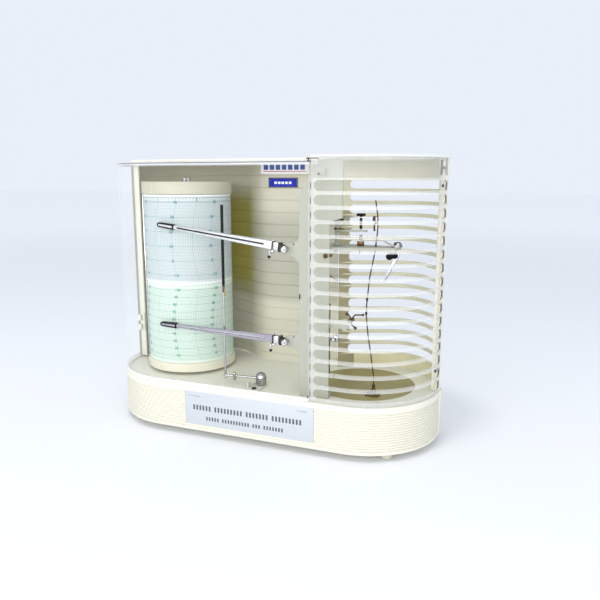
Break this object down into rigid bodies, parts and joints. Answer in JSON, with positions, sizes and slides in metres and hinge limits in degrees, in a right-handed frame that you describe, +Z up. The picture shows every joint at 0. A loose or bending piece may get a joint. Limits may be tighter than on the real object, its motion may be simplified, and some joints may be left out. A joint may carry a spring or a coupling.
{
  "type": "recording thermo-hygrometer",
  "caption": "Desk-top chart recorder for temperature and humidity: turning chart drum, two pen arms and sensing levers on a stadium-shaped base under a clear hinged door and a louvred cover.",
  "frame": {"origin": "on the floor, below the middle of the stadium-shaped base", "axes": "+Z up, +X to the right towards the louvred sensor end, -Y is the front with the clear door"},
  "size_m": [0.3504, 0.1536, 0.2775],
  "materials": {
    "base": "satin moulded",
    "housing": "satin moulded",
    "frame_plastic": "satin moulded",
    "drum": "satin moulded",
    "clear_cover": "clear polished acrylic",
    "foot_rubber": "matte",
    "chart": "printed chart paper",
    "polished_metal": "polished",
    "arm_metal": "polished",
    "dark_metal": "blackened",
    "brass_parts": "satin",
    "black_plastic": "satin",
    "label": "printed film",
    "badge_pale": "printed film",
    "badge_dark": "printed film",
    "hair": "bundle of hair"
  },
  "bodies": {
    "case": {"base_shell": "base", "bottom_plate": "base", "rear_top_plate": "base", "latch_keeper": "base", "rear_drum_shell": "housing", "rear_louvre_shell": "housing", "pen_plate": "frame_plastic", "sensor_shelf": "frame_plastic", "clamp_post": "frame_plastic", "louvre_cover": "clear_cover", "louvre_lid": "clear_cover", "foot_front_left": "foot_rubber", "foot_front_right": "foot_rubber", "foot_rear_left": "foot_rubber", "foot_rear_right": "foot_rubber", "drum_spindle": "polished_metal", "lifter_foot": "polished_metal", "screw_block": "polished_metal", "hair_foot": "polished_metal", "hook_bracket": "polished_metal", "hinge_pin": "dark_metal", "hair_lever": "dark_metal", "hair_clips": "dark_metal", "guard_rod": "dark_metal", "centre_gear": "brass_parts", "bimetal_strip": "brass_parts", "front_label": "label", "badge_white": "badge_pale", "badge_blue": "badge_dark", "hair_element": "hair"},
    "door": {"door_panel": "clear_cover", "door_top": "clear_cover"},
    "drum": {"drum_shell": "drum", "chart_paper": "chart", "drum_cap": "drum", "drum_flange": "drum", "drum_bush": "brass_parts", "chart_clip": "polished_metal", "clock_case": "black_plastic", "battery": "badge_dark"},
    "pinion": {"clock_pinion": "brass_parts"},
    "nut": {"thumb_nut": "polished_metal"},
    "temp_swing": {"temp_spindle": "polished_metal", "temp_crank": "polished_metal", "temp_yoke": "polished_metal"},
    "temp_lift": {"temp_arm": "arm_metal", "temp_pen": "black_plastic", "temp_gate_screw": "polished_metal"},
    "humid_swing": {"humid_spindle": "polished_metal", "humid_crank": "polished_metal", "humid_yoke": "polished_metal", "counterweight": "polished_metal"},
    "humid_lift": {"humid_arm": "arm_metal", "humid_pen": "black_plastic", "humid_gate_screw": "polished_metal"},
    "lifter": {"lifter_rod": "polished_metal", "lifter_sleeve": "black_plastic", "lifter_knob": "polished_metal"},
    "hook": {"hook_lever": "polished_metal"},
    "adjuster": {"lever_screw": "black_plastic"}
  },
  "joints": [
    {"name": "door_open", "type": "hinge", "parent": "case", "child": "door", "pos_m": [0.0656, -0.0747, 0.16], "axis": [0, 0, 1], "range_deg": [0, 105]},
    {"name": "drum_spin", "type": "hinge", "parent": "case", "child": "drum", "pos_m": [-0.10325, 0, 0.15], "axis": [0, 0, 1], "continuous": true},
    {"name": "pinion_spin", "type": "hinge", "parent": "drum", "child": "pinion", "pos_m": [-0.1214, 0, 0.1025], "axis": [0, 0, 1], "continuous": true},
    {"name": "nut_turn", "type": "hinge", "parent": "case", "child": "nut", "pos_m": [-0.10325, 0, 0.254], "axis": [0, 0, 1], "range_deg": [0, 360]},
    {"name": "temp_pen_swing", "type": "hinge", "parent": "case", "child": "temp_swing", "pos_m": [0.0387, -0.0625, 0.1927], "axis": [0, 1, 0], "range_deg": [-21, 9.5], "stiffness_Nm_per_rad": 0.3},
    {"name": "temp_pen_lift", "type": "hinge", "parent": "temp_swing", "child": "temp_lift", "pos_m": [0.02549, -0.0616, 0.19543], "axis": [0.1149, 0, 0.9934], "range_deg": [0, 8]},
    {"name": "humid_pen_swing", "type": "hinge", "parent": "case", "child": "humid_swing", "pos_m": [0.0387, -0.0625, 0.1043], "axis": [0, 1, 0], "range_deg": [-15, 15], "stiffness_Nm_per_rad": 0.3},
    {"name": "humid_pen_lift", "type": "hinge", "parent": "humid_swing", "child": "humid_lift", "pos_m": [0.0254, -0.0616, 0.10562], "axis": [0.0087, 0, 1], "range_deg": [0, 8]},
    {"name": "lifter_turn", "type": "hinge", "parent": "case", "child": "lifter", "pos_m": [0.0045, -0.0465, 0.058], "axis": [0, 0, 1], "range_deg": [0, 12]},
    {"name": "hook_swing", "type": "hinge", "parent": "case", "child": "hook", "pos_m": [0.0944, -0.032, 0.124], "axis": [0, 1, 0], "range_deg": [-6, 6]},
    {"name": "adjuster_turn", "type": "hinge", "parent": "case", "child": "adjuster", "pos_m": [0.1017, -0.032, 0.22], "axis": [0, 0, 1], "range_deg": [-180, 180]}
  ],
  "couplings": [
    {"joint": "pinion_spin", "follows": "drum_spin", "ratio": 4},
    {"joint": "temp_pen_lift", "follows": "lifter_turn", "ratio": 0.6},
    {"joint": "humid_pen_lift", "follows": "lifter_turn", "ratio": 0.6},
    {"joint": "hook_swing", "follows": "humid_pen_swing", "ratio": -0.35}
  ]
}
